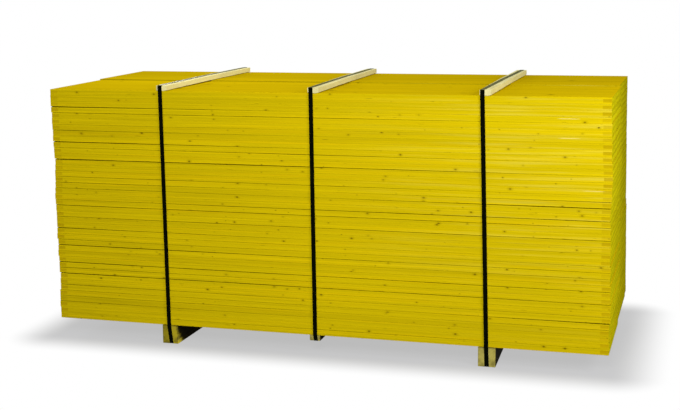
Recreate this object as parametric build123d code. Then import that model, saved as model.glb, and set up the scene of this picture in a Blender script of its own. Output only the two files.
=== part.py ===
from build123d import *
import os

# Panels: coated three-ply sheets with eased long edges, laid flat in layers of two
panel_length = 2500.0
panel_width = 500.0
panel_thickness = 26.6
panel_arris = 0.6
layer_count = 40

# Bedding: the two columns stand a little apart, and the rear panels bed less tightly
column_clearance = 1.0
rear_air_gap = 0.1

# How far panels have slid out of line, endways and edgeways, as shares from the top layer down
end_slide = 8.0
edge_slide = 2.5
front_end_slide_shares = (
    -0.15, -0.3, -0.25, -0.2, 0.15, 0.0, 0.15, 0.35, 0.25, 0.3,
    0.6, 0.8, 0.9, 0.75, 0.6, 0.6, 0.4, 0.15, 0.0, 0.1,
    0.2, 0.35, 0.35, 0.4, 0.3, 0.15, 0.6, 0.4, 0.3, 0.8,
    0.7, 0.65, 1.0, 0.85, 1.0, 0.35, 0.25, 0.2, 0.45, 0.45,
)
rear_end_slide_shares = (
    -1.0, -1.0, -0.95, -1.0, -1.0, -0.95, -0.9, -0.95, -0.9, -0.95,
    -0.9, -0.85, -0.7, -0.75, -0.7, -0.65, -0.65, -0.6, -0.6, -0.55,
    -0.55, -0.6, -0.35, -0.15, -0.2, -0.15, -0.1, -0.05, -0.1, 0.0,
    0.05, 0.1, 0.15, 0.1, 0.1, 0.15, 0.2, 0.25, 0.35, -0.1,
)
edge_slide_shares = (
    0.2, 0.0, 0.3, 0.0, -0.3, -0.1, -0.2, 0.1, 0.4, -0.1,
    0.3, 1.0, -0.7, -0.3, 0.3, 0.0, -0.3, -0.1, 0.3, 0.0,
    -0.4, -0.1, 0.0, 0.4, -0.1, 0.3, 0.0, -0.4, 0.0, 0.5,
    0.3, 0.1, -0.8, -0.2, 0.6, 0.0, -0.3, 0.0, 0.1, 0.0,
)

# Battens on top and the lath under the middle, sawn from the same stock
lath_width = 48.0
lath_height = 24.0

# Bearers on the floor
bearer_width = 75.0
bearer_height = 85.0

# Straps, and the room each bearer's underside leaves beside its strap
strap_width = 19.0
strap_thickness = 1.0
strap_side_room = 0.5

# Strapping lines along the panels, as shares of the panel length
line_place_shares = {"left": -0.277, "middle": -0.004, "right": 0.2995}

# How far each piece strays from its line at the front and the rear, as shares of the lath width.
# A strap strays most at its head, less where it passes the lower edge of the stack, and least at its foot.
batten_stray_shares = {"left": (-0.22, 0.22), "middle": (0.16, 0.0), "right": (-0.22, -0.18)}
under_stray_shares = {"left": (-0.1, 0.2), "middle": (0.0, 0.0), "right": (0.0, -0.8)}
strap_head_stray_shares = {"left": (-0.37, 0.2), "middle": (-0.05, 0.0), "right": (-0.47, -0.12)}
strap_edge_stray_shares = {"left": (-0.2, 0.21), "middle": (0.02, 0.04), "right": (-0.06, -0.74)}
strap_foot_stray_shares = {"left": (0.0, 0.2), "middle": (0.1, 0.05), "right": (0.0, -0.8)}

# Sizes that follow from these
column_gap = column_clearance + 2 * edge_slide
column_offset = (panel_width + column_gap) / 2
loop_depth = 2 * panel_width + column_gap + 2 * edge_slide
front_top = bearer_height + layer_count * panel_thickness
rear_top = front_top + (layer_count - 1) * rear_air_gap


def line_point(side, stray_shares, end, height):
    """Point on a strapping line at its front (end 0) or rear (end 1), strayed from the line."""
    x = line_place_shares[side] * panel_length + stray_shares[side][end] * lath_width
    y = (end - 1 / 2) * loop_depth
    return Vector(x, y, height)


def joint_point(start, end, height):
    """Point between start and end in plan, over the front edge of the rear column."""
    share = (column_gap / 2 - start.Y) / (end.Y - start.Y)
    return Vector(start.X + share * (end.X - start.X), column_gap / 2, height)


def straight_bar(start, end, width, thickness, facing):
    """Flat bar between two centres, its ends square to the facing direction."""
    section = Plane(origin=start, x_dir=Axis.X.direction, z_dir=facing) * Rectangle(width, thickness)
    return extrude(section, amount=(end - start).length, dir=(end - start).normalized())


def bent_bar(points, width, thickness):
    """Bar along points that lie on its underside, with ends that face the front and the rear."""
    lift = Vector(0, 0, thickness / 2)
    bars = []
    for start, end in zip(points, points[1:]):
        bars.append(straight_bar(start + lift, end + lift, width, thickness, Axis.Y.direction))
    return bars[0].fuse(*bars[1:]) if len(bars) > 1 else bars[0]


def panel_blank():
    """One panel, centred on the origin, with its four long edges eased."""
    outline = Rectangle(panel_width, panel_thickness)
    profile = chamfer(outline.vertices(), panel_arris)
    return extrude(Plane.YZ * profile, amount=panel_length / 2, both=True)


def panel_layer(blank, layer):
    """Front and rear panel of one layer, counted from 0 at the bottom."""
    from_top = layer_count - 1 - layer
    front_slide = front_end_slide_shares[from_top] * end_slide
    rear_slide = rear_end_slide_shares[from_top] * end_slide
    outward = edge_slide_shares[from_top] * edge_slide
    front_middle = bearer_height + (layer + 1 / 2) * panel_thickness
    rear_middle = front_middle + layer * rear_air_gap
    front = Pos(front_slide, -column_offset - outward, front_middle) * blank
    rear = Pos(rear_slide, column_offset + outward, rear_middle) * blank
    return Compound(children=[front, rear])


def over_stack(side, stray_shares, lift):
    """Points from front to rear over the top of both columns, raised by lift."""
    start = line_point(side, stray_shares, 0, front_top + lift)
    end = line_point(side, stray_shares, 1, rear_top + lift)
    return [start, joint_point(start, end, rear_top + lift), end]


def top_batten(side):
    """Batten across both columns, drawn down at the front by its strap."""
    return bent_bar(over_stack(side, batten_stray_shares, 0), lath_width, lath_height)


def under_bar(side, width, height):
    """Bearer or lath under the stack, from front to rear."""
    bottom = bearer_height - height
    ends = [line_point(side, under_stray_shares, end, bottom) for end in (0, 1)]
    return bent_bar(ends, width, height)


def strap_foot(side, bottom):
    """Underside points of the strap's lowest run, from front to rear."""
    return [line_point(side, strap_foot_stray_shares, end, bottom) for end in (0, 1)]


def bearer(side):
    """Bearer with a shallow bite along its underside, in which the strap lies."""
    bite = bent_bar(strap_foot(side, 0), strap_width + 2 * strap_side_room, strap_thickness)
    return under_bar(side, bearer_width, bearer_height) - bite


def with_corners(points):
    """Lengthen a run at both ends by the thickness of the strap that turns there."""
    outward = Vector(0, strap_thickness, 0)
    return [points[0] - outward, *points, points[-1] + outward]


def strap(side, bottom):
    """Closed loop over the batten, down the front, under the stack and up the rear."""
    head = over_stack(side, strap_head_stray_shares, lath_height)
    foot = strap_foot(side, bottom)
    loop = bent_bar(with_corners(head), strap_width, strap_thickness)
    loop = loop.fuse(bent_bar(with_corners(foot), strap_width, strap_thickness))
    for end in (0, 1):
        aside = Vector(0, (end - 1 / 2) * strap_thickness, 0)
        low = foot[-end] + Vector(0, 0, strap_thickness)
        edge = line_point(side, strap_edge_stray_shares, end, bearer_height)
        for start, stop in ((low, edge), (edge, head[-end])):
            run = straight_bar(start + aside, stop + aside, strap_width, strap_thickness, Axis.Z.direction)
            loop = loop.fuse(run)
    return loop


def all_nodes():
    """Every sub-part by name."""
    nodes = {}
    blank = panel_blank()
    for layer in range(layer_count):
        nodes[f"panel_layer_{layer + 1:02d}"] = panel_layer(blank, layer)
    for side in line_place_shares:
        nodes[f"top_batten_{side}"] = top_batten(side)
    for side in ("left", "right"):
        nodes[f"bearer_{side}"] = bearer(side)
        nodes[f"strap_{side}"] = strap(side, 0)
    nodes["bottom_lath"] = under_bar("middle", lath_width, lath_height)
    nodes["strap_middle"] = strap("middle", bearer_height - lath_height - strap_thickness)
    return nodes


os.makedirs("parts", exist_ok=True)
for name, shape in all_nodes().items():
    export_step(shape, f"parts/{name}.step")
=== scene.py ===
import math

import bmesh
import bpy
import numpy as np
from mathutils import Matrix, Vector


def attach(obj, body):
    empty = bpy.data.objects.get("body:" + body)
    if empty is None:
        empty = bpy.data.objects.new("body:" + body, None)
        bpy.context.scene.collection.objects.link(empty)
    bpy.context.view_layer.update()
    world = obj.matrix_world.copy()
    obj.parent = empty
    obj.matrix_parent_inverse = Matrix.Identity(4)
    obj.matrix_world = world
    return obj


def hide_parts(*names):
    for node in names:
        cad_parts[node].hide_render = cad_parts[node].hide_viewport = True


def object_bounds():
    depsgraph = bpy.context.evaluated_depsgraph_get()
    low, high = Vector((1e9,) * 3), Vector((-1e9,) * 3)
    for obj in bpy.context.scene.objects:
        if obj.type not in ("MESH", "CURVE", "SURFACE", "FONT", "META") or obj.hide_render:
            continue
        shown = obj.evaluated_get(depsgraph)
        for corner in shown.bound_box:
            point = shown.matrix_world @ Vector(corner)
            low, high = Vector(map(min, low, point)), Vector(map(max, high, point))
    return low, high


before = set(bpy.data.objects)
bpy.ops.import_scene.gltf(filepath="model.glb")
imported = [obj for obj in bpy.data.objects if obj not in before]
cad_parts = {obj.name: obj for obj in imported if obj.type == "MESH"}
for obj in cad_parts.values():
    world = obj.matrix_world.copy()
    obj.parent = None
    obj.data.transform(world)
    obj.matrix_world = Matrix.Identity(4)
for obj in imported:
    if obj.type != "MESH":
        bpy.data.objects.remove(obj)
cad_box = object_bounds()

# Corner points nearer than this lie on the same edge, in metres as all lengths here. Rows of points are
# told apart by this many digits after the point.
same_edge = 0.0005
row_digits = 3

# Panels
layer_count = 40
ply_count = 3
panel_length = 2.5
panel_width = 0.5
panel_thickness = 0.0266
ply_thickness = panel_thickness / ply_count
panel_arris = 0.0003
middle_ply_recess = 0.0003
glue_line = 0.0004
panel_station = 0.024
taper_depth = 0.014
edge_wave = 0.0004
edge_wave_spans = (1.7, 0.6)
edge_skew = 0.0010

# Room between the columns below the parted top layers, and where they meet, as shares of the distance
joint_room = 0.0012
parted_layers = 2
meeting_shares = (0.2, 0.8)

# Gaps between layers at the outer edge: the widest, and shares of it at even steps from left to right.
# Layers are counted from the top, and a gap has the number of the layer above it.
widest_gap = 0.0049
closed_gap_share = 0.01
gap_wave_spans = (0.9, 0.37)
gap_wave_share = 0.15
front_gap_shares = {
    3: (0.92, 0.00, 0.00), 4: (0.34, 0.40, 0.00), 6: (0.14, 0.07, 0.05), 7: (0.38, 0.03, 0.02),
    9: (1.00, 0.14, 0.00), 10: (0.12, 0.46, 0.00), 12: (1.00, 0.74, 0.00), 15: (0.32, 0.36, 0.00),
    16: (0.50, 0.00, 0.45), 17: (0.34, 0.08, 0.85), 19: (0.20, 0.50, 0.58), 20: (0.60, 0.42, 0.34),
    22: (0.30, 0.36, 0.40), 24: (0.72, 0.10, 0.00), 25: (0.10, 0.14, 0.00), 26: (0.34, 0.16, 0.20),
    27: (0.95, 0.42, 0.28), 28: (0.00, 0.05, 0.20), 30: (0.80, 0.50, 0.42), 31: (0.44, 0.18, 0.04),
    32: (0.88, 0.62, 0.46), 34: (0.26, 0.06, 0.05), 35: (0.32, 0.20, 0.05, 1.00),
    36: (0.30, 0.28, 0.08, 0.34), 37: (0.26, 0.02, 0.00), 39: (0.00, 0.30, 0.12),
}
rear_gap_turn = 17

# Front edges turned inward at the left and right end, as shares of the usual skew, by layer from the top
front_skew_shares = {11: (0.3, 2.0), 12: (0.2, 4.2)}

# Scraped stretches of the front edge, from and to, as shares of the length, by layer from the top
scrape_shares = {4: (0.915, 0.945), 7: (0.915, 0.945), 15: (0.955, 0.985)}

# Battens, bearers and lath
bar_station = 0.04
bar_arris = 0.0016
bar_end_arris = 0.0010
bar_wear = 0.0005
batten_lift = 0.0020
lift_reach = 0.012
lath_seed = 40

# Straps
strap_thickness = 0.001
strap_room = 0.0005
strap_bend = 0.0035
strap_bend_steps = 5
strap_station = 0.05
strap_edge = 0.00035

# Colours in linear light
edge_yellow = (0.610, 0.462, 0.0016, 1.0)
face_yellow = (0.620, 0.436, 0.0012, 1.0)
# The rear column's flat faces take painted shade: a darker copy of the face yellow
rear_shaded_yellow = (0.575, 0.402, 0.0012, 1.0)
end_yellow = (0.535, 0.466, 0.0030, 1.0)
edge_ochre = (0.590, 0.395, 0.0010, 1.0)
scuff_pale = (0.680, 0.560, 0.0450, 1.0)
block_brown = (0.440, 0.305, 0.0015, 1.0)
knot_brown = (0.110, 0.065, 0.0010, 1.0)
scrape_cream = (0.860, 0.760, 0.2600, 1.0)
batten_pale = (0.760, 0.700, 0.3300, 1.0)
batten_dark = (0.560, 0.480, 0.1900, 1.0)
bearer_pale = (0.460, 0.400, 0.0900, 1.0)
bearer_dark = (0.270, 0.220, 0.0400, 1.0)
bearer_stain = (0.410, 0.325, 0.0035, 1.0)
strap_black = (0.0018, 0.0022, 0.0006, 1.0)
strap_worn = (0.0040, 0.0056, 0.0016, 1.0)
# Dust with a painted sheen on the strapping where it lies flat
strap_dust_and_sheen = (0.090, 0.092, 0.0200, 1.0)
white = (1.0, 1.0, 1.0, 1.0)

# In the looks below, a grain has a scale for each of three directions and a fineness, and a scatter moves
# it from piece to piece. A range is one of values between which a look changes, tones multiply a colour,
# a cover is how far a mark hides it, and a bump has a strength and a depth.
usual_range = (0.3, 0.7)

# Knots and other spots: how their halo and core fade, in radii of the spot
halo_reach = (2.6, 0.8)
core_reach = (1.1, 0.5)
faintest_spot = 0.35
spot_scatter = 13.0

# Panels as a whole
panel_specular = 0.0
panel_scatter = 7.31
ply_scatter = 3.7
panel_tones = (0.96, 1.03)
panel_roughness = (0.62, 0.50)
panel_bump = (0.25, 0.0004)
streak_height = 0.6
hair_height = 0.5
facing_limit = 0.7

# Long edges of the panels: streaks that weaken to the right, and painted shade that darkens the coat low
# at the right
streak_grain = (2.4, 1.0, 190.0, 3.0)
streak_range = (0.28, 0.72)
streak_fade_shares = (0.1, 0.6)
dark_streak_tones = (0.89, 0.955)
pale_streak_tones = (1.08, 1.035)
edge_fibre_grain = (22.0, 1.0, 1300.0, 2.0)
edge_fibre_tones = (0.97, 1.03)
cloud_grain = (1.3, 1.0, 40.0, 1.0)
cloud_tones = (0.95, 1.05)
ply_tones = (0.96, 1.04)
glue_line_tone = 0.91
# Painted shade low at the right of the long edges
low_right_shade_length_shares = (0.45, 0.9)
low_right_shade_level_shares = (0.1, 0.8)
low_right_shade_tone = 0.90
# Painted shade on the inner long edges, in the joint between the columns
joint_shade_shares = (0.90, 0.98)
joint_shade_tone = 0.66

# Marks on the long edges
ochre_range = (0.45, 0.75)
ochre_cover = 0.4
scuff_grain = (2.2, 5.9, 75.0, 2.0)
scuff_range = (0.45, 0.72)
scuff_cover = 0.6
scuff_length_shares = (0.5, 0.95)
scuff_level_shares = (0.1, 0.7)
lowest_scuff_share = 0.1
end_block = 0.036
block_cover = 0.95
block_length_shares = (0.94, 1.03)
block_height_shares = (0.64, 0.90)
block_fibre_range = (0.25, 0.65)
block_fibre_shares = (0.7, 1.0)
block_draw_shares = (0.4, 1.0)
far_end_seed = 0.5
edge_knots = {"cell": (0.075, 0.0135), "chance": 0.105, "radii": (0.0015, 0.0050), "stretch": 1.5}
edge_knot_covers = (0.22, 0.80)
edge_dashes = {"cell": (0.22, 0.009), "chance": 0.09, "radii": (0.0006, 0.0012), "stretch": 14.0}
dash_reach = (1.2, 0.5)
dash_cover = 0.55
scrape_height = 0.0013
scrape_height_shares = (0.6, 1.2)
scrape_cover = 0.75
scrape_fibre_range = (0.25, 0.55)
scrape_fibre_shares = (0.5, 1.0)

# Flat faces of the panels, with painted shade inside the stack but for the ledges at its ends
board_width = 0.125
board_scatter = 5.3
board_tones = (0.95, 1.04)
face_scatter = 9.7
warp_grain = (1.1, 7.0, 1.0, 2.0)
ring_waves = 700.0
ring_warp = 26.0
ring_tones = (0.95, 1.03)
hair_grain = (14.0, 420.0, 1.0, 2.0)
hair_tones = (0.96, 1.03)
band_grain = (1.6, 45.0, 1.0, 2.0)
band_tones = (0.92, 1.06)
seam_share = 0.010
seam_tone = 0.82
face_knots = {"cell": (0.33, 0.11), "chance": 0.40, "radii": (0.004, 0.010), "stretch": 1.3}
face_knot_covers = (0.25, 0.70)
gap_shade_tone = 0.3
ledge_reach = 0.006

# Short ends of the panels, with a line of painted shade between layers, painted light at the front and
# painted shade at the rear
pore_grain = (1.0, 700.0, 900.0, 2.0)
pore_tones = (0.82, 1.08)
long_grain = (1.0, 12.0, 600.0, 2.0)
long_grain_tones = (0.88, 1.07)
middle_ply_tone = 1.06
end_band_grain = (1.0, 9.0, 150.0, 1.0)
end_band_tones = (0.91, 1.09)
# Line of painted shade between layers on the ends
layer_line = 0.0020
layer_line_shade_tone = 0.45
sheet_scatter = 1.7
sheet_tones = (0.94, 1.06)
# Painted light at the front of the panel ends and painted shade towards the rear
front_end_light_tones = (1.12, 1.03)
rear_end_shade_tones = (0.90, 1.03)

# Sawn wood: rings about a pith, saw marks and dirt
wood_specular = 0.02
wood_scatter = 3.17
wood_roughness = (0.85, 0.70)
wood_bump = (0.35, 0.0006)
batten_ring = 0.0042
batten_grime = 0.12
# Tones of painted shade on the sides of battens and bearers
batten_side_shade_tone = 1.0
bearer_ring = 0.0060
bearer_grime = 0.60
bearer_side_shade_tone = 0.055
bend_grain = (2.2, 9.0, 1.0, 1.0)
ring_bend = 0.010
pith_aside = (-0.03, 0.03)
pith_depth = 0.035
wood_fibre_grain = (9.0, 420.0, 420.0, 3.0)
wood_fibre_height = 0.8
late_range = (0.35, 0.95)
late_covers = (0.05, 0.75)
late_fibre_range = (0.2, 0.8)
late_fibre_shares = (0.6, 1.2)
dirt_grain = (5.0, 30.0, 30.0, 3.0)
dirt_range = (0.40, 0.65)
dirt_tone = 0.40
saw_grain = (260.0, 6.0, 20.0, 1.0)
saw_tones = (0.96, 1.03)
side_range = (0.6, 0.8)

# The bearers take painted shade close under the stack. The left batten and bearer are paler to the right,
# and the left bearer has a black fringe at its right edge and a patch of painted light at the front foot
# of its side.
under_stack_shade_heights = (0.076, 0.084)
under_stack_shade_tone = 0.56
fringe_grain = (3.0, 90.0, 60.0, 3.0)
fringe_across = (0.016, 0.036)
fringe_across_pull = (-0.30, 0.10)
fringe_up = (0.020, 0.075)
fringe_up_pull = (-0.12, 0.06)
fringe_range = (0.48, 0.56)
fringe_tone = 0.12
paler_across = (-0.016, 0.012)
paler_tones = (0.79, 1.16)
# A patch of painted light at the front foot of the first piece's side
foot_slope = 0.9
foot_fray = 0.05
foot_reach = (0.045, 0.105)
foot_light_tone = 2.2

# Strapping
strap_specular = 0.005
strap_roughness = (0.42, 0.60)
strap_bump = (0.30, 0.0002)
strap_sheen_range = (0.35, 0.7)
strap_scuff_grain = (8.0, 260.0, 1.0, 3.0)
strap_scuff_range = (0.45, 0.75)
dust_and_sheen_range = (0.6, 0.9)
lattice_waves = 1700.0

# Stage, light and camera
floor_size = 60.0
floor_grey = (0.18, 0.18, 0.19, 1.0)
shadow_share = 0.50
shadow_reach = 0.25
fill_strength = 0.32
key_place = (1.0, -5.5, 3.5)
key_target = (0.3, -0.5, 0.65)
key_size = 1.8
key_power = 240.0
near_place = (3.3, -1.8, 2.2)
near_target = (0.9, -0.5, 0.9)
near_size = 1.2
near_power = 78.0
over_place = (-0.75, 0.0, 2.5)
over_target = (-0.75, 0.0, 1.2)
over_size = 0.8
over_power = 7.4
back_place = (-4.5, 6.0, 2.4)
back_target = (0.0, 0.5, 0.6)
back_size = 2.0
back_power = 400.0
image_width = 680
image_height = 410
sensor_width = 36.0
focal_pixels = 1281.2
centre_row = 160.0
camera_place = (1.6431, -5.6893, 1.6636)
camera_turn = (81.593, 0.735, 16.318)


class Paint:
    """One material, with short forms for the nodes that colour it."""

    mix_inputs = (0, 6, 7)
    mix_output = 2

    def __init__(self, name, specular):
        self.material = bpy.data.materials.new(name)
        self.material.use_nodes = True
        self.tree = self.material.node_tree
        self.shader = self.tree.nodes["Principled BSDF"]
        self.shader.inputs["Specular IOR Level"].default_value = specular
        self.seed = self.add("ShaderNodeAttribute", attribute_name="seed").outputs["Fac"]
        self.wear = self.add("ShaderNodeAttribute", attribute_name="wear").outputs["Fac"]
        place = self.add("ShaderNodeAttribute", attribute_name="place").outputs["Vector"]
        self.place = self.split(place)
        normal = self.add("ShaderNodeNewGeometry").outputs["True Normal"]
        self.facing = [self.math("ABSOLUTE", part) for part in self.split(normal)]

    def add(self, kind, **settings):
        node = self.tree.nodes.new(kind)
        for name, value in settings.items():
            setattr(node, name, value)
        return node

    def feed(self, socket, value):
        if isinstance(value, bpy.types.NodeSocket):
            self.tree.links.new(value, socket)
        else:
            socket.default_value = value

    def math(self, operation, *values):
        node = self.add("ShaderNodeMath", operation=operation)
        for socket, value in zip(node.inputs, values):
            self.feed(socket, value)
        return node.outputs[0]

    def total(self, *values):
        result = values[0]
        for value in values[1:]:
            result = self.math("ADD", result, value)
        return result

    def product(self, *values):
        result = values[0]
        for value in values[1:]:
            result = self.math("MULTIPLY", result, value)
        return result

    def split(self, vector):
        node = self.add("ShaderNodeSeparateXYZ")
        self.feed(node.inputs[0], vector)
        return list(node.outputs)

    def join(self, *values):
        node = self.add("ShaderNodeCombineXYZ")
        for socket, value in zip(node.inputs, values):
            self.feed(socket, value)
        return node.outputs[0]

    def span(self, value, start, end, low, high):
        """Value moved from the range start to end, which may run down, to the range low to high."""
        node = self.add("ShaderNodeMapRange", interpolation_type="SMOOTHSTEP")
        for socket, item in zip(node.inputs, (value, start, end, low, high)):
            self.feed(socket, item)
        return node.outputs[0]

    def noise(self, places, grain):
        """Noise over three places, each stretched by its own scale of the grain."""
        *scales, fineness = grain
        node = self.add("ShaderNodeTexNoise")
        stretched = [self.product(place, scale) for place, scale in zip(places, scales)]
        self.feed(node.inputs["Vector"], self.join(*stretched))
        node.inputs["Scale"].default_value = 1.0
        node.inputs["Detail"].default_value = fineness
        return node.outputs[0]

    def draw(self, value, low, high):
        """Random number between low and high for each value."""
        node = self.add("ShaderNodeTexWhiteNoise", noise_dimensions="1D")
        self.feed(node.inputs["W"], value)
        return self.span(node.outputs[0], 0.0, 1.0, low, high)

    def apart(self, value, other):
        """Distance between two values."""
        return self.math("ABSOLUTE", self.math("SUBTRACT", value, other))

    def mix(self, share, first, second):
        node = self.add("ShaderNodeMix", data_type="RGBA")
        for index, item in zip(self.mix_inputs, (share, first, second)):
            self.feed(node.inputs[index], item)
        return node.outputs[self.mix_output]

    def shade(self, colour, tone):
        node = self.add("ShaderNodeVectorMath", operation="SCALE")
        self.feed(node.inputs[0], colour[:3] if isinstance(colour, tuple) else colour)
        self.feed(node.inputs["Scale"], tone)
        return node.outputs[0]

    def spots(self, first, second, cell, chance, radii, stretch):
        """Distance to the nearest oval spot, in its radii, and its strength, 0 where there is none."""
        column = self.math("DIVIDE", first, cell[0])
        row = self.total(self.math("DIVIDE", second, cell[1]), self.product(self.seed, spot_scatter))
        node = self.add("ShaderNodeTexVoronoi", voronoi_dimensions="2D", feature="F1")
        self.feed(node.inputs["Vector"], self.join(column, row, 0.0))
        node.inputs["Scale"].default_value = 1.0
        size, _, lot = self.split(node.outputs["Color"])
        spot_column, spot_row, _ = self.split(node.outputs["Position"])
        aside = self.product(self.math("SUBTRACT", column, spot_column), cell[0] / stretch)
        above = self.product(self.math("SUBTRACT", row, spot_row), cell[1])
        away = self.math("SQRT", self.total(self.product(aside, aside), self.product(above, above)))
        radius = self.span(size, 0.0, 1.0, *radii)
        chosen = self.math("LESS_THAN", lot, chance)
        strength = self.product(chosen, self.span(lot, 0.0, chance, 1.0, faintest_spot))
        return self.math("DIVIDE", away, radius), strength

    def finish(self, colour, roughness, height, bump_strength, bump_depth):
        bump = self.add("ShaderNodeBump")
        bump.inputs["Strength"].default_value = bump_strength
        bump.inputs["Distance"].default_value = bump_depth
        self.feed(bump.inputs["Height"], height)
        self.feed(self.shader.inputs["Normal"], bump.outputs[0])
        self.feed(self.shader.inputs["Base Color"], colour)
        self.feed(self.shader.inputs["Roughness"], roughness)
        return self.material


def shares_of(whole, shares):
    """Parts of a whole that have these shares of it."""
    return [share * whole for share in shares]


def end_distance(paint):
    """Distance to the nearer end of a panel."""
    along = paint.place[0]
    return paint.math("MINIMUM", along, paint.math("SUBTRACT", panel_length, along))


def on_rear(paint):
    """1 on the panels of the rear column."""
    return paint.math("GREATER_THAN", paint.seed, layer_count + 1 / 2)


def glue_tone(paint):
    """Darker lines where the plies meet."""
    lower, upper = (paint.apart(paint.place[2], count * ply_thickness) for count in (1, 2))
    return paint.span(paint.math("MINIMUM", lower, upper), 0.0, 2 * glue_line, glue_line_tone, 1.0)


def knot_share(paint, away, there, halo_cover, core_cover):
    """How far a knot covers the wood at a distance in radii: its core, and a faint halo round it."""
    halo = paint.span(away, *halo_reach, 0.0, halo_cover)
    core = paint.span(away, *core_reach, 0.0, core_cover)
    return paint.product(paint.math("MAXIMUM", halo, core), there)


def scuff_share(paint, level):
    """How far pale scuffs cover the coat: most at the right of the upper layers."""
    along, _, up = paint.place
    scuffs = paint.noise((along, paint.seed, up), scuff_grain)
    return paint.product(
        paint.span(scuffs, *scuff_range, 0.0, scuff_cover),
        paint.span(along, *shares_of(panel_length, scuff_length_shares), 0.0, 1.0),
        paint.span(level, *shares_of(layer_count, scuff_level_shares), lowest_scuff_share, 1.0),
    )


def block_share(paint, fibres):
    """How far the darker end block of the middle ply covers the coat, with a strength for each end."""
    along, _, up = paint.place
    from_end = end_distance(paint)
    from_middle = paint.apart(up, panel_thickness / 2)
    far_end = paint.product(paint.math("GREATER_THAN", along, from_end), far_end_seed)
    return paint.product(
        paint.span(from_end, *shares_of(end_block, block_length_shares), block_cover, 0.0),
        paint.span(from_middle, *shares_of(ply_thickness, block_height_shares), 1.0, 0.0),
        paint.span(fibres, *block_fibre_range, *block_fibre_shares),
        paint.draw(paint.total(paint.seed, far_end), *block_draw_shares),
    )


def scrape_share(paint, fibres):
    """How far bare wood shows in the scraped stretches, along the upper glue line."""
    above_ply = paint.apart(paint.place[2], 2 * ply_thickness)
    return paint.product(
        paint.span(above_ply, *shares_of(scrape_height, scrape_height_shares), scrape_cover, 0.0),
        paint.span(fibres, *scrape_fibre_range, *scrape_fibre_shares),
        paint.wear,
    )


def coat_tone(paint, level, shift, streaks, fibres, clouds):
    """Tone of the coat on a long edge, with painted shade low at the right."""
    along = paint.place[0]
    fade = shares_of(panel_length, streak_fade_shares)
    darkest = paint.span(along, *fade, *dark_streak_tones)
    palest = paint.span(along, *fade, *pale_streak_tones)
    # Painted shade that darkens the coat low at the right
    low_right_shade = paint.span(along, *shares_of(panel_length, low_right_shade_length_shares), 1.0, low_right_shade_tone)
    return paint.product(
        paint.span(level, *shares_of(layer_count, low_right_shade_level_shares), low_right_shade, 1.0),
        paint.span(streaks, *streak_range, darkest, palest),
        paint.span(fibres, *usual_range, *edge_fibre_tones),
        paint.span(clouds, *usual_range, *cloud_tones),
        paint.draw(shift, *ply_tones),
    )


def edge_colour(paint, level, shift):
    """Long edge of a panel: streaks, glue lines, scuffs, end blocks, knots, dashes and pale scrapes."""
    along, _, up = paint.place
    streaks = paint.noise((along, shift, up), streak_grain)
    fibres = paint.noise((along, shift, up), edge_fibre_grain)
    clouds = paint.noise((along, shift, up), cloud_grain)
    coat = paint.mix(paint.span(clouds, *ochre_range, 0.0, ochre_cover), edge_yellow, edge_ochre)
    coat = paint.mix(scuff_share(paint, level), coat, scuff_pale)
    tone = coat_tone(paint, level, shift, streaks, fibres, clouds)
    colour = paint.shade(coat, paint.product(tone, glue_tone(paint)))
    colour = paint.mix(block_share(paint, fibres), colour, block_brown)
    away, there = paint.spots(along, up, **edge_knots)
    colour = paint.mix(knot_share(paint, away, there, *edge_knot_covers), colour, knot_brown)
    away, there = paint.spots(along, up, **edge_dashes)
    dashes = paint.product(paint.span(away, *dash_reach, 0.0, dash_cover), there)
    colour = paint.mix(dashes, colour, knot_brown)
    return paint.mix(scrape_share(paint, fibres), colour, scrape_cream), streaks, fibres


def face_colour(paint):
    """Flat face of a panel: boards glued side by side, with rings, hair-fine grain and knots."""
    along, across, _ = paint.place
    boards = paint.math("DIVIDE", across, board_width)
    in_board = paint.math("FRACT", boards)
    shift = paint.total(
        paint.product(paint.math("FLOOR", boards), board_scatter),
        paint.product(paint.seed, face_scatter),
    )
    warp = paint.noise((along, across, shift), warp_grain)
    phase = paint.total(paint.product(across, ring_waves), paint.product(warp, ring_warp))
    hairs = paint.noise((along, across, shift), hair_grain)
    bands = paint.noise((along, across, shift), band_grain)
    to_seam = paint.math("MINIMUM", in_board, paint.math("SUBTRACT", 1.0, in_board))
    tone = paint.product(
        paint.span(paint.math("SINE", phase), -1.0, 1.0, *ring_tones),
        paint.span(hairs, *usual_range, *hair_tones),
        paint.span(bands, *usual_range, *band_tones),
        paint.draw(shift, *board_tones),
        paint.span(to_seam, 0.0, seam_share, seam_tone, 1.0),
    )
    # Painted shade darkens the flat faces of the rear column
    coat = paint.shade(paint.mix(on_rear(paint), face_yellow, rear_shaded_yellow), tone)
    away, there = paint.spots(along, across, **face_knots)
    return paint.mix(knot_share(paint, away, there, *face_knot_covers), coat, knot_brown), hairs


def gap_shade_share(paint, level):
    """1 on the flat faces below the top layer that take painted shade: in the gaps and behind the ledges
    at the ends.
    """
    below_top = paint.math("LESS_THAN", level, layer_count - 1 - 1 / 2)
    in_gap = paint.math("LESS_THAN", paint.place[1], taper_depth)
    past_ledge = paint.span(end_distance(paint), ledge_reach, 2 * ledge_reach, 0.0, 1.0)
    return paint.product(below_top, paint.math("MAXIMUM", in_gap, past_ledge))


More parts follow.
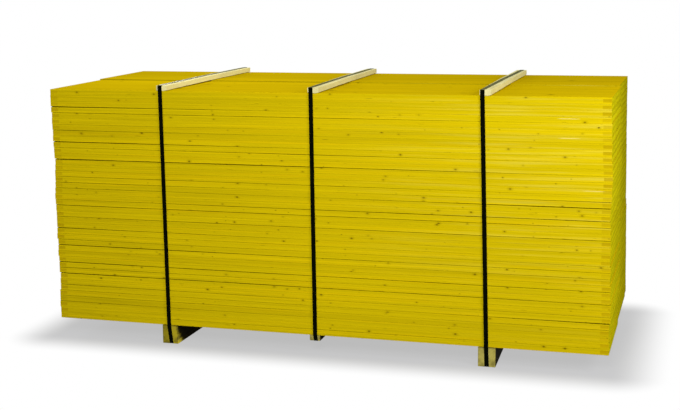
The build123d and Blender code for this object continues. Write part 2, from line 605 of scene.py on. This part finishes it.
def end_colour(paint, ply, shift):
    """Short end of a panel: end grain in the outer plies and long grain in the middle one, with painted
    shade between layers and painted light that turns to painted shade from front to rear.
    """
    _, across, up = paint.place
    pores = paint.noise((shift, across, up), pore_grain)
    fibres = paint.noise((shift, across, up), long_grain)
    bands = paint.noise((shift, across, up), end_band_grain)
    middle = paint.math("COMPARE", ply, float(ply_count // 2), 1 / 2)
    outer = paint.math("SUBTRACT", 1.0, middle)
    grain = paint.total(
        paint.product(middle, paint.span(fibres, *usual_range, *long_grain_tones), middle_ply_tone),
        paint.product(outer, paint.span(pores, *usual_range, *pore_tones)),
    )
    # Painted shade along the line between layers
    to_layer = paint.math("MINIMUM", up, paint.math("SUBTRACT", panel_thickness, up))
    # Painted light at the front of the end, painted shade towards the rear
    front = paint.span(across, 0.0, panel_width, *front_end_light_tones)
    rear = paint.span(across, 0.0, panel_width, *rear_end_shade_tones)
    tone = paint.product(
        grain,
        paint.span(bands, *usual_range, *end_band_tones),
        paint.span(to_layer, 0.0, layer_line, layer_line_shade_tone, 1.0),
        paint.draw(paint.product(paint.seed, sheet_scatter), *sheet_tones),
        paint.span(on_rear(paint), 0.0, 1.0, front, rear),
        glue_tone(paint),
    )
    return paint.shade(end_yellow, tone)


def panel_material():
    """Yellow coating on three-ply wood."""
    paint = Paint("coated_panel", panel_specular)
    _, across, up = paint.place
    ply = paint.math("FLOOR", paint.math("DIVIDE", up, ply_thickness))
    shift = paint.total(paint.product(paint.seed, panel_scatter), paint.product(ply, ply_scatter))
    on_end = paint.math("GREATER_THAN", paint.facing[0], facing_limit)
    on_face = paint.math("GREATER_THAN", paint.facing[2], facing_limit)
    level = paint.math("MODULO", paint.math("SUBTRACT", paint.seed, 1.0), float(layer_count))
    edge, streaks, fibres = edge_colour(paint, level, shift)
    # Painted shade on the inner long edges in the joint between the columns
    inner = paint.span(across, *shares_of(panel_width, joint_shade_shares), 1.0, joint_shade_tone)
    face, hairs = face_colour(paint)
    # Painted shade on the flat faces in the gaps inside the stack
    gap_shade = paint.span(gap_shade_share(paint, level), 0.0, 1.0, 1.0, gap_shade_tone)
    colour = paint.mix(on_face, paint.shade(edge, inner), paint.shade(face, gap_shade))
    colour = paint.mix(on_end, colour, end_colour(paint, ply, shift))
    colour = paint.shade(colour, paint.draw(paint.seed, *panel_tones))
    roughness = paint.span(streaks, *usual_range, *panel_roughness)
    hair_relief = paint.product(hairs, on_face, hair_height)
    height = paint.total(paint.product(streaks, streak_height), hair_relief, fibres)
    return paint.finish(colour, roughness, height, *panel_bump)


def late_wood(paint, shift, ring, fibres):
    """How far dark late wood covers the pale early wood, in rings about a pith below the piece."""
    along, across, up = paint.place
    pith_across = paint.math("SUBTRACT", across, paint.draw(shift, *pith_aside))
    pith_up = paint.total(up, pith_depth)
    square = paint.total(paint.product(pith_across, pith_across), paint.product(pith_up, pith_up))
    bend = paint.noise((along, across, shift), bend_grain)
    radius = paint.total(paint.math("SQRT", square), paint.product(bend, ring_bend))
    rings = paint.math("FRACT", paint.math("DIVIDE", radius, ring))
    return paint.product(
        paint.span(rings, *late_range, *late_covers),
        paint.span(fibres, *late_fibre_range, *late_fibre_shares),
    )


def fringe_share(paint, grime):
    """How far a black fringe covers the wood, at the right and more so at the top."""
    _, across, up = paint.place
    fringe = paint.total(
        paint.noise(paint.place, fringe_grain),
        paint.span(across, *fringe_across, *fringe_across_pull),
        paint.span(up, *fringe_up, *fringe_up_pull),
    )
    return paint.span(fringe, *fringe_range, 0.0, grime)


def wood_material(name, pale, dark, stain, ring, grime, side_shade_tone):
    """Sawn softwood, the first piece stained and lit by painted light at its foot, with painted shade on
    the sides and under the stack.
    """
    paint = Paint(name, wood_specular)
    along, across, up = paint.place
    shift = paint.product(paint.seed, wood_scatter)
    first = paint.math("LESS_THAN", paint.seed, 1 / 2)
    fibres = paint.noise(paint.place, wood_fibre_grain)
    saw = paint.noise(paint.place, saw_grain)
    dirt = paint.span(paint.noise(paint.place, dirt_grain), *dirt_range, 0.0, grime)
    fringe = paint.product(fringe_share(paint, grime), first)
    colour = paint.mix(late_wood(paint, shift, ring, fibres), paint.mix(first, pale, stain), dark)
    colour = paint.mix(dirt, colour, paint.shade(dark, dirt_tone))
    colour = paint.mix(fringe, colour, paint.shade(dark, fringe_tone))
    colour = paint.shade(colour, paint.span(saw, *usual_range, *saw_tones))
    paler = paint.span(first, 0.0, 1.0, 1.0, paint.span(across, *paler_across, *paler_tones))
    # Painted shade close under the stack, along the top of the bearers
    under_stack_shade = paint.span(up, *under_stack_shade_heights, 1.0, under_stack_shade_tone)
    colour = paint.shade(colour, paint.product(paler, under_stack_shade))
    # Painted light at the front foot of the first piece's side, where its painted side shade gives way
    reach = paint.total(along, paint.product(up, foot_slope), paint.product(fibres, foot_fray))
    wear_and_foot_light = paint.product(paint.span(reach, *foot_reach, 1.0, 0.0), first)
    side = paint.span(wear_and_foot_light, 0.0, 1.0, side_shade_tone, side_shade_tone + (1 - side_shade_tone) * foot_light_tone)
    # Painted shade on the sides
    colour = paint.shade(colour, paint.span(paint.facing[1], *side_range, side, 1.0))
    roughness = paint.span(fibres, *usual_range, *wood_roughness)
    height = paint.total(saw, paint.product(fibres, wood_fibre_height))
    return paint.finish(colour, roughness, height, *wood_bump)


def strap_material():
    """Black plastic strapping with a fine embossed lattice, dull scuffs, and dust with a painted sheen
    where it lies flat.
    """
    paint = Paint("strap", strap_specular)
    along, across, _ = paint.place
    first = paint.math("SINE", paint.product(paint.total(along, across), lattice_waves))
    second = paint.math("SINE", paint.product(paint.math("SUBTRACT", along, across), lattice_waves))
    lattice = paint.product(first, second)
    scuffs = paint.noise((along, across, paint.seed), strap_scuff_grain)
    colour = paint.mix(paint.span(scuffs, *strap_scuff_range, 0.0, 1.0), strap_black, strap_worn)
    # Dust with a painted sheen on the runs that lie flat on top
    colour = paint.mix(paint.span(paint.facing[2], *dust_and_sheen_range, 0.0, 1.0), colour, strap_dust_and_sheen)
    roughness = paint.span(scuffs, *strap_sheen_range, *strap_roughness)
    return paint.finish(colour, roughness, lattice, *strap_bump)


def cad_points(node):
    """Corner points of a CAD node, as rows of x, y and z."""
    return np.array([vertex.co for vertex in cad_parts[node].data.vertices], float)


def outer_edge(points, toward):
    """Points on the outermost edge of a solid in a direction across it."""
    reach = points @ np.array(toward, float)
    return points[reach > reach.max() - same_edge]


def wave(places, spans, generator):
    """Smooth run of values between -1 and 1, the same for the same generator."""
    total = np.zeros_like(places)
    for span in spans:
        total += np.sin(places * 2 * math.pi / span + generator.uniform(0, 2 * math.pi))
    return total / len(spans)


def round_steps(arris):
    """How far the middle of a quarter round stays from both of its sides."""
    return arris * (1 - math.sqrt(1 / 2))


def eased_ends(start, end, arris, station):
    """Stations from start to end, and how far the section is drawn in at each by its eased ends."""
    turn = round_steps(arris)
    runs = np.linspace(start + arris, end - arris, round((end - start) / station))
    stations = np.concatenate([[start, start + turn], runs, [end - turn, end]])
    inset = np.zeros_like(stations)
    inset[[0, -1]] = arris
    inset[[1, -2]] = turn
    return stations, inset


def loft(rings, closed):
    """Points and faces of a skin over rings of points, closed into a loop or by flat ends."""
    count, size, _ = rings.shape
    index = np.arange(count * size).reshape(count, size)
    near, far = (index, np.roll(index, -1, axis=0)) if closed else (index[:-1], index[1:])
    sides = np.stack([near, far, np.roll(far, -1, axis=1), np.roll(near, -1, axis=1)], axis=2)
    faces = sides.reshape(-1, 4).tolist()
    if not closed:
        faces += [index[0].tolist(), index[-1][::-1].tolist()]
    return rings.reshape(-1, 3), faces


def add_piece(name, skins, closed, material, node):
    """One object made of skins, which keeps each point's own place in its part for the material."""
    points, faces, places, seeds, wears = [], [], [], [], []
    start = 0
    for rings, own_places, seed, wear in skins:
        skin_points, skin_faces = loft(rings, closed)
        faces += [[start + corner for corner in face] for face in skin_faces]
        start += len(skin_points)
        points.append(skin_points)
        places.append(own_places.reshape(-1, 3))
        seeds.append(np.full(len(skin_points), seed))
        wears.append(np.repeat(wear, rings.shape[1]))
    mesh = bpy.data.meshes.new(name)
    mesh.from_pydata(np.concatenate(points).tolist(), [], faces)
    solid = bmesh.new()
    solid.from_mesh(mesh)
    bmesh.ops.recalc_face_normals(solid, faces=solid.faces)
    solid.to_mesh(mesh)
    solid.free()
    place_store = mesh.attributes.new("place", "FLOAT_VECTOR", "POINT")
    place_store.data.foreach_set("vector", np.concatenate(places).astype(np.float32).ravel())
    for label, values in (("seed", seeds), ("wear", wears)):
        store = mesh.attributes.new(label, "FLOAT", "POINT")
        store.data.foreach_set("value", np.concatenate(values).astype(np.float32))
    mesh.materials.append(material)
    piece = bpy.data.objects.new(name, mesh)
    bpy.context.scene.collection.objects.link(piece)
    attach(piece, "root")
    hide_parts(node)
    return piece


def half_gap(number, along, shares):
    """Half the gap under a layer counted from the top, along its outer edge."""
    if number == 0:
        return np.zeros_like(along)
    steps = shares.get(number, (closed_gap_share,))
    share = np.interp(along, np.linspace(0, along[-1], len(steps)), steps)
    drift = wave(along, gap_wave_spans, np.random.default_rng(number))
    return widest_gap / 2 * share * (1 - gap_wave_share + gap_wave_share * drift)


def panel_skin(low, high, inward, from_top, shares, skews, scrapes, seed):
    """Skin of one panel inside its box, parted from its neighbours by the gaps at its outer edge."""
    generator = np.random.default_rng(seed)
    length, width, thickness = high - low
    turn = round_steps(panel_arris)
    along, inset = eased_ends(0, length, panel_arris, panel_station)
    below = inset + half_gap(from_top, along, shares)
    above = thickness - inset - half_gap(from_top - 1, along, shares)
    usual_skew = generator.uniform(0, 1, 2)
    skew = edge_skew * np.linspace(*skews.get(from_top, usual_skew), len(along))
    outer = inset + skew + edge_wave * (1 + wave(along, edge_wave_spans, generator)) / 2
    recessed = outer + middle_ply_recess
    inner = width - inset
    bottom = inset
    top = thickness - inset
    ply = np.full_like(along, thickness / ply_count)
    profile = [
        (inner, bottom + panel_arris), (inner - turn, bottom + turn), (inner - panel_arris, bottom),
        (outer + taper_depth, bottom), (outer + panel_arris, below), (outer + turn, below + turn),
        (outer, below + panel_arris), (outer, ply - glue_line), (recessed, ply + glue_line),
        (recessed, 2 * ply - glue_line), (outer, 2 * ply + glue_line), (outer, above - panel_arris),
        (outer + turn, above - turn), (outer + panel_arris, above), (outer + taper_depth, top),
        (inner - panel_arris, top), (inner - turn, top - turn), (inner, top - panel_arris),
    ]
    depth = np.stack([point[0] for point in profile], axis=1)
    height = np.stack([point[1] for point in profile], axis=1)
    run = np.repeat(along[:, None], len(profile), axis=1)
    edge = low[1] if inward > 0 else high[1]
    rings = np.stack([low[0] + run, edge + inward * depth, low[2] + height], axis=2)
    start, end = scrapes.get(from_top, (0, 0))
    scraped = (along > start * length) & (along < end * length)
    return rings, np.stack([run, depth, height], axis=2), seed, scraped.astype(float)


def column_boxes(points, from_top):
    """Boxes of a layer's front and rear panel, which meet between the columns below the top layers."""
    front, rear = (points[points[:, 1] * side > 0] for side in (-1, 1))
    boxes = [[own.min(axis=0), own.max(axis=0)] for own in (front, rear)]
    if from_top > parted_layers:
        share = np.random.default_rng(from_top).uniform(*meeting_shares)
        start, end = boxes[0][1][1], boxes[1][0][1]
        meeting = start + share * (end - start)
        boxes[0][1][1] = meeting - joint_room / 2
        boxes[1][0][1] = meeting + joint_room / 2
    return boxes


def add_layer(layer, material):
    """Front and rear panel of a layer counted from 1 at the bottom."""
    node = f"panel_layer_{layer:02d}"
    from_top = layer_count + 1 - layer
    points = cad_points(node)
    turned = {(key + rear_gap_turn) % layer_count: pair for key, pair in front_gap_shares.items()}
    (front_low, front_high), (rear_low, rear_high) = column_boxes(points, from_top)
    front = (front_low, front_high, 1, from_top, front_gap_shares, front_skew_shares, scrape_shares, layer)
    rear = (rear_low, rear_high, -1, from_top, turned, {}, {}, layer + layer_count)
    skins = [panel_skin(*front), panel_skin(*rear)]
    return add_piece(f"panels_{layer:02d}", skins, False, material, node)


def bar_path(points):
    """Middle of a bar's underside from front to rear, with its width and height."""
    path = []
    for row in np.unique(points[:, 1].round(row_digits)):
        section = points[np.abs(points[:, 1] - row) < same_edge]
        low, high = section.min(axis=0), section.max(axis=0)
        path.append(((low[0] + high[0]) / 2, row, low[2]))
        width, _, height = high - low
    return np.array(path), width, height


def bar_outline(width, height, lift, bite):
    """Section of a bar with eased corners, an underside that lifts at both sides, and any bite."""
    turn = round_steps(bar_arris)
    half = width / 2
    left = [
        (lift_reach - half, 0), (bar_arris - half, lift), (turn - half, lift + turn),
        (-half, lift + bar_arris), (-half, height - bar_arris), (turn - half, height - turn),
        (bar_arris - half, height),
    ]
    right = [(-across, up) for across, up in left[::-1]]
    return np.array(left + right + bite)


def strap_bite(strap, path):
    """Corners of a strap's bite in a bar's underside at the front, and its drift to the rear."""
    front, rear = (outer_edge(cad_points(strap), (0, side, -1))[:, 0] for side in (-1, 1))
    start = front.min() - strap_room - path[0, 0]
    end = front.max() + strap_room - path[0, 0]
    drift = rear.min() - strap_room - path[-1, 0] - start
    return [(end, 0), (end, strap_thickness), (start, strap_thickness), (start, 0)], drift


def add_bar(name, node, strap, lift, material, seed):
    """Sawn batten, bearer or lath along its CAD node, with a bite for a strap in its underside."""
    generator = np.random.default_rng(seed)
    path, width, height = bar_path(cad_points(node))
    bite, drift = strap_bite(strap, path) if strap else ([], 0)
    outline = bar_outline(width, height, lift, bite)
    rows, inset = eased_ends(path[0, 1], path[-1, 1], bar_end_arris, bar_station)
    middle = np.array([0.0, height / 2])
    shrink = 1 - 2 * inset[:, None] / np.array([width, height])
    section = middle + (outline - middle) * shrink[:, None, :]
    section[:, len(outline) - len(bite):, 0] += drift * (rows[:, None] - rows[0]) / np.ptp(rows)
    wear_and_foot_light = bar_wear * generator.uniform(0, 1, section.shape[:2])
    section[:, :, 0] -= np.sign(section[:, :, 0]) * wear_and_foot_light
    section[:, :, 1] -= np.where(section[:, :, 1] > height / 2, wear_and_foot_light, 0)
    across = np.interp(rows, path[:, 1], path[:, 0])[:, None] + section[:, :, 0]
    up = np.interp(rows, path[:, 1], path[:, 2])[:, None] + section[:, :, 1]
    run = np.repeat(rows[:, None], len(outline), axis=1)
    places = np.stack([run - path[0, 1], section[:, :, 0], section[:, :, 1]], axis=2)
    skin = (np.stack([across, run, up], axis=2), places, seed, np.zeros(len(rows)))
    return add_piece(name, [skin], False, material, node)


def strap_corners(points):
    """Turns of a strap's middle line, from its front foot up, over the top and down the rear."""
    inward = strap_thickness / 2
    foot, head, rear_head, rear_foot = (
        outer_edge(points, toward).mean(axis=0) - inward * np.array(toward)
        for toward in ((0, -1, -1), (0, -1, 1), (0, 1, 1), (0, 1, -1))
    )
    on_side = (points[:, 2] > foot[2] + strap_bend) & (points[:, 2] < head[2] / 2)
    edge, rear_edge = (points[on_side & (points[:, 1] * side > 0)].mean(axis=0) for side in (-1, 1))
    crest = points[(np.abs(points[:, 1]) < strap_station) & (points[:, 2] > head[2] / 2)].mean(axis=0)
    return [foot, edge, head, crest, rear_head, rear_edge, rear_foot]


def strap_line(points):
    """Middle line of a strap, bent at its turns."""
    corners = strap_corners(points)
    line = []
    befores = np.roll(corners, 1, axis=0)
    afters = np.roll(corners, -1, axis=0)
    for before, corner, after in zip(befores, corners, afters):
        arrive = corner - strap_bend * (corner - before) / np.linalg.norm(corner - before)
        leave = corner + strap_bend * (after - corner) / np.linalg.norm(after - corner)
        for step in np.linspace(0, 1, strap_bend_steps):
            line.append((1 - step) ** 2 * arrive + 2 * step * (1 - step) * corner + step ** 2 * leave)
        rest = np.linalg.norm(after - corner) - 2 * strap_bend
        for step in range(1, round(rest / strap_station)):
            line.append(leave + (after - corner) / np.linalg.norm(after - corner) * step * strap_station)
    return np.array(line)


def add_strap(side, material, seed):
    """Closed plastic band along its CAD node."""
    node = f"strap_{side}"
    points = cad_points(node)
    half = np.ptp(outer_edge(points, (0, -1, 1))[:, 0]) / 2
    line = strap_line(points)
    course = np.roll(line, -1, axis=0) - np.roll(line, 1, axis=0)
    outward = np.cross((1.0, 0.0, 0.0), course)
    outward /= np.linalg.norm(outward, axis=1)[:, None]
    rise = strap_thickness / 2
    edge = [(half, rise - strap_edge), (half - strap_edge, rise)]
    upper = edge + [(-across, up) for across, up in edge[::-1]]
    section = np.array(upper + [(across, -up) for across, up in upper[::-1]])
    sideways = section[None, :, :1] * np.array((1.0, 0.0, 0.0))
    rings = line[:, None, :] + sideways + section[None, :, 1:] * outward[:, None, :]
    travel = np.cumsum(np.linalg.norm(line - np.roll(line, 1, axis=0), axis=1))
    places = np.empty_like(rings)
    places[:, :, 0] = travel[:, None]
    places[:, :, 1:] = section[None]
    skin = (rings, places, seed, np.zeros(len(line)))
    return add_piece(f"band_{side}", [skin], True, material, node)


def camera_like(tree):
    """1 for rays that see the stage directly, by reflection or through glass."""
    path = tree.nodes.new("ShaderNodeLightPath")
    result = path.outputs["Is Camera Ray"]
    for name in ("Is Glossy Ray", "Is Transmission Ray"):
        node = tree.nodes.new("ShaderNodeMath")
        node.operation = "MAXIMUM"
        tree.links.new(result, node.inputs[0])
        tree.links.new(path.outputs[name], node.inputs[1])
        result = node.outputs[0]
    return result


def add_floor():
    """Pale floor that keeps the soft shadow of the object and runs out to plain white."""
    bpy.ops.mesh.primitive_plane_add(size=floor_size)
    floor = bpy.context.object
    floor.name = "floor"
    material = bpy.data.materials.new("floor")
    material.use_nodes = True
    tree = material.node_tree
    tree.nodes.clear()
    diffuse = tree.nodes.new("ShaderNodeBsdfDiffuse")
    diffuse.inputs["Color"].default_value = floor_grey
    glow = tree.nodes.new("ShaderNodeEmission")
    away = tree.nodes.new("ShaderNodeNewGeometry").outputs["Position"]
    half = (cad_box[1] - cad_box[0]) / 2
    steps = (("ABSOLUTE", None), ("SUBTRACT", half), ("MAXIMUM", (0, 0, 0)), ("LENGTH", None))
    for operation, other in steps:
        node = tree.nodes.new("ShaderNodeVectorMath")
        node.operation = operation
        tree.links.new(away, node.inputs[0])
        if other:
            node.inputs[1].default_value = other
        away = node.outputs["Value"] if operation == "LENGTH" else node.outputs[0]
    lift = tree.nodes.new("ShaderNodeMapRange")
    lift.interpolation_type = "SMOOTHSTEP"
    for name, value in (("From Max", shadow_reach), ("To Min", 1 - shadow_share)):
        lift.inputs[name].default_value = value
    share = tree.nodes.new("ShaderNodeMath")
    share.operation = "MULTIPLY"
    mix = tree.nodes.new("ShaderNodeMixShader")
    output = tree.nodes.new("ShaderNodeOutputMaterial")
    tree.links.new(away, lift.inputs["Value"])
    tree.links.new(lift.outputs[0], share.inputs[0])
    tree.links.new(camera_like(tree), share.inputs[1])
    tree.links.new(share.outputs[0], mix.inputs[0])
    tree.links.new(diffuse.outputs[0], mix.inputs[1])
    tree.links.new(glow.outputs[0], mix.inputs[2])
    tree.links.new(mix.outputs[0], output.inputs["Surface"])
    floor.data.materials.append(material)


def add_world():
    """White surround that lights the object evenly and softly."""
    world = bpy.data.worlds.new("surround")
    world.use_nodes = True
    tree = world.node_tree
    background = tree.nodes["Background"]
    background.inputs["Color"].default_value = white
    strength = tree.nodes.new("ShaderNodeMapRange")
    strength.inputs["To Min"].default_value = fill_strength
    strength.inputs["To Max"].default_value = 1.0
    tree.links.new(camera_like(tree), strength.inputs["Value"])
    tree.links.new(strength.outputs[0], background.inputs["Strength"])
    bpy.context.scene.world = world


def add_lamp(name, place, target, size, power):
    """Square softbox turned towards a point."""
    lamp = bpy.data.lights.new(name, "AREA")
    lamp.size = size
    lamp.energy = power
    item = bpy.data.objects.new(name, lamp)
    item.location = place
    item.rotation_euler = (Vector(target) - Vector(place)).to_track_quat("-Z", "Y").to_euler()
    bpy.context.scene.collection.objects.link(item)


def add_camera():
    """Camera of the photograph's view."""
    lens = bpy.data.cameras.new("camera")
    lens.sensor_width = sensor_width
    lens.lens = focal_pixels / image_width * sensor_width
    lens.shift_y = (centre_row - image_height / 2) / image_width
    item = bpy.data.objects.new("camera", lens)
    item.location = camera_place
    item.rotation_euler = [math.radians(angle) for angle in camera_turn]
    bpy.context.scene.collection.objects.link(item)
    bpy.context.scene.camera = item


panel_paint = panel_material()
batten_wood = wood_material(
    "batten_wood", batten_pale, batten_dark, batten_pale, batten_ring, batten_grime, batten_side_shade_tone
)
bearer_wood = wood_material(
    "bearer_wood", bearer_pale, bearer_dark, bearer_stain, bearer_ring, bearer_grime, bearer_side_shade_tone
)
strap_plastic = strap_material()

for layer in range(1, layer_count + 1):
    add_layer(layer, panel_paint)
for seed, side in enumerate(("left", "middle", "right")):
    add_bar(f"batten_{side}", f"top_batten_{side}", None, batten_lift, batten_wood, seed)
    add_strap(side, strap_plastic, seed)
for seed, side in enumerate(("left", "right")):
    add_bar(f"beam_{side}", f"bearer_{side}", f"strap_{side}", 0, bearer_wood, seed)
add_bar("lath_middle", "bottom_lath", None, 0, bearer_wood, lath_seed)

add_floor()
add_world()
add_lamp("key", key_place, key_target, key_size, key_power)
add_lamp("near", near_place, near_target, near_size, near_power)
add_lamp("over", over_place, over_target, over_size, over_power)
add_lamp("back", back_place, back_target, back_size, back_power)
add_camera()
bpy.context.scene.view_settings.view_transform = "Standard"
